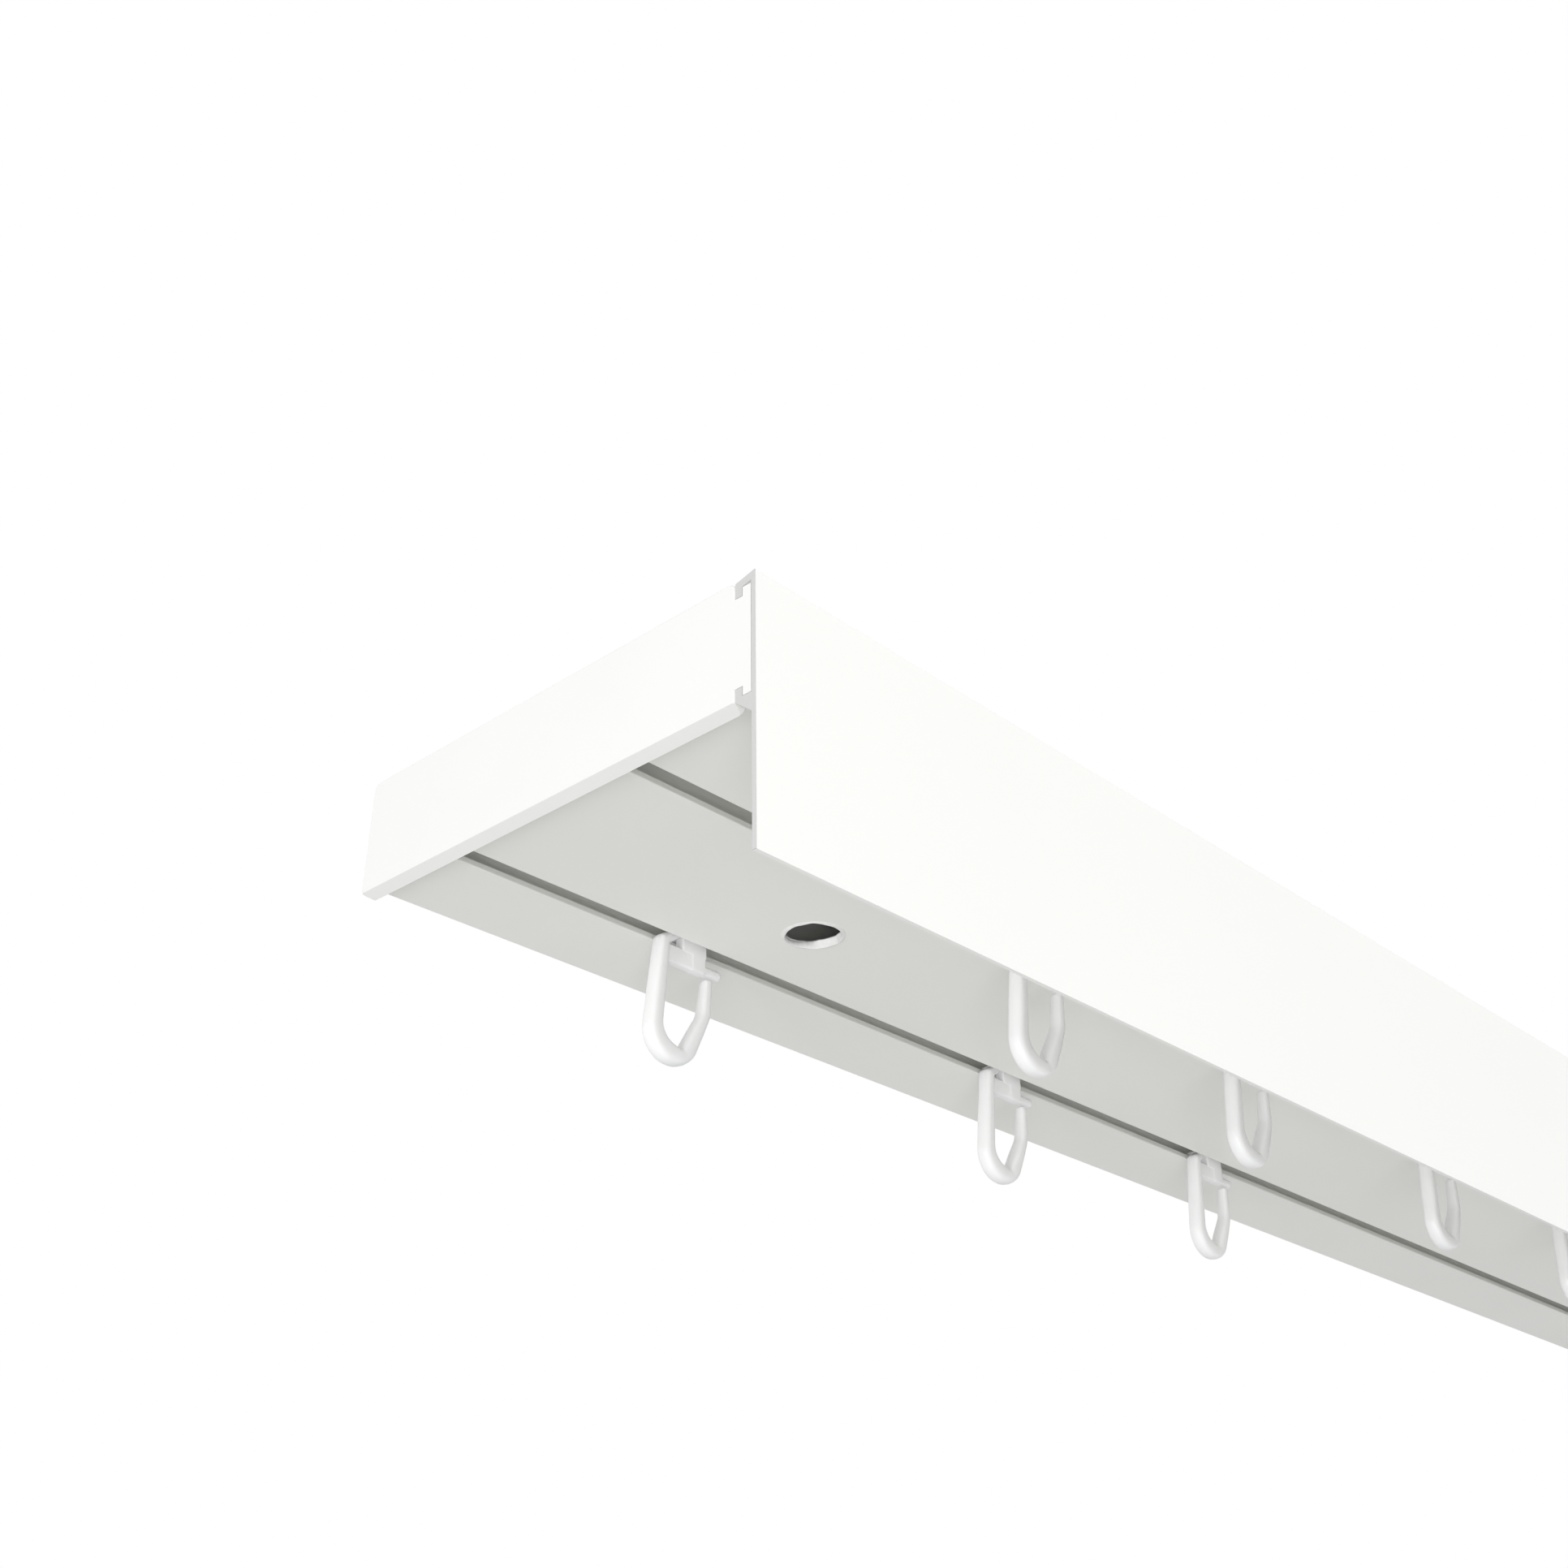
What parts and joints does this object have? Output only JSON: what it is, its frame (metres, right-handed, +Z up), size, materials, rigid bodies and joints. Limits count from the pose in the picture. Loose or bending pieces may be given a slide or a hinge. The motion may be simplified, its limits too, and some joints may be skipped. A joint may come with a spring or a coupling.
{
  "type": "curtain track",
  "caption": "White ceiling curtain track: hollow extruded profile with slotted runs, clip-on fascia, end caps and sliding loop gliders for hanging curtains.",
  "frame": {"origin": "middle of the track's top face, which lies on the ceiling", "axes": "+X along the track, the fascia faces -Y, +Z up towards the ceiling"},
  "size_m": [0.6, 0.1005, 0.0502],
  "materials": {
    "track": "extruded white plastic with a soft sheen",
    "fascia": "smooth warm white plastic",
    "cap": "moulded white plastic",
    "glider": "moulded white plastic, slightly waxy"
  },
  "bodies": {
    "track": {"track_profile": "track", "fascia_panel": "fascia", "left_end_cap": "cap", "right_end_cap": "cap"},
    "rear_glider_1": {"rear_glider_1": "glider"},
    "rear_glider_2": {"rear_glider_2": "glider"},
    "rear_glider_3": {"rear_glider_3": "glider"},
    "rear_glider_4": {"rear_glider_4": "glider"},
    "rear_glider_5": {"rear_glider_5": "glider"},
    "rear_glider_6": {"rear_glider_6": "glider"},
    "rear_glider_7": {"rear_glider_7": "glider"},
    "front_glider_1": {"front_glider_1": "glider"},
    "front_glider_2": {"front_glider_2": "glider"},
    "front_glider_3": {"front_glider_3": "glider"},
    "front_glider_4": {"front_glider_4": "glider"},
    "front_glider_5": {"front_glider_5": "glider"},
    "front_glider_6": {"front_glider_6": "glider"},
    "front_glider_7": {"front_glider_7": "glider"}
  },
  "joints": [
    {"name": "rear_glider_1_slide", "type": "slide", "parent": "track", "child": "rear_glider_1", "axis": [1, 0, 0], "range_m": [-0.045, 0.0803]},
    {"name": "rear_glider_2_slide", "type": "slide", "parent": "track", "child": "rear_glider_2", "axis": [1, 0, 0], "range_m": [0, 0.0635]},
    {"name": "rear_glider_3_slide", "type": "slide", "parent": "track", "child": "rear_glider_3", "axis": [1, 0, 0], "range_m": [0, 0.2195]},
    {"name": "rear_glider_4_slide", "type": "slide", "parent": "track", "child": "rear_glider_4", "axis": [1, 0, 0], "range_m": [0, 0.0115]},
    {"name": "rear_glider_5_slide", "type": "slide", "parent": "track", "child": "rear_glider_5", "axis": [1, 0, 0], "range_m": [0, 0.0115]},
    {"name": "rear_glider_6_slide", "type": "slide", "parent": "track", "child": "rear_glider_6", "axis": [1, 0, 0], "range_m": [0, 0.0115]},
    {"name": "rear_glider_7_slide", "type": "slide", "parent": "track", "child": "rear_glider_7", "axis": [1, 0, 0], "range_m": [0, 0.0075]},
    {"name": "front_glider_1_slide", "type": "slide", "parent": "track", "child": "front_glider_1", "axis": [1, 0, 0], "range_m": [-0.0987, 0.0563]},
    {"name": "front_glider_2_slide", "type": "slide", "parent": "track", "child": "front_glider_2", "axis": [1, 0, 0], "range_m": [0, 0.0684]},
    {"name": "front_glider_3_slide", "type": "slide", "parent": "track", "child": "front_glider_3", "axis": [1, 0, 0], "range_m": [0, 0.05485]},
    {"name": "front_glider_4_slide", "type": "slide", "parent": "track", "child": "front_glider_4", "axis": [1, 0, 0], "range_m": [0, 0.05485]},
    {"name": "front_glider_5_slide", "type": "slide", "parent": "track", "child": "front_glider_5", "axis": [1, 0, 0], "range_m": [0, 0.05485]},
    {"name": "front_glider_6_slide", "type": "slide", "parent": "track", "child": "front_glider_6", "axis": [1, 0, 0], "range_m": [0, 0.05485]},
    {"name": "front_glider_7_slide", "type": "slide", "parent": "track", "child": "front_glider_7", "axis": [1, 0, 0], "range_m": [0, 0.0075]}
  ]
}
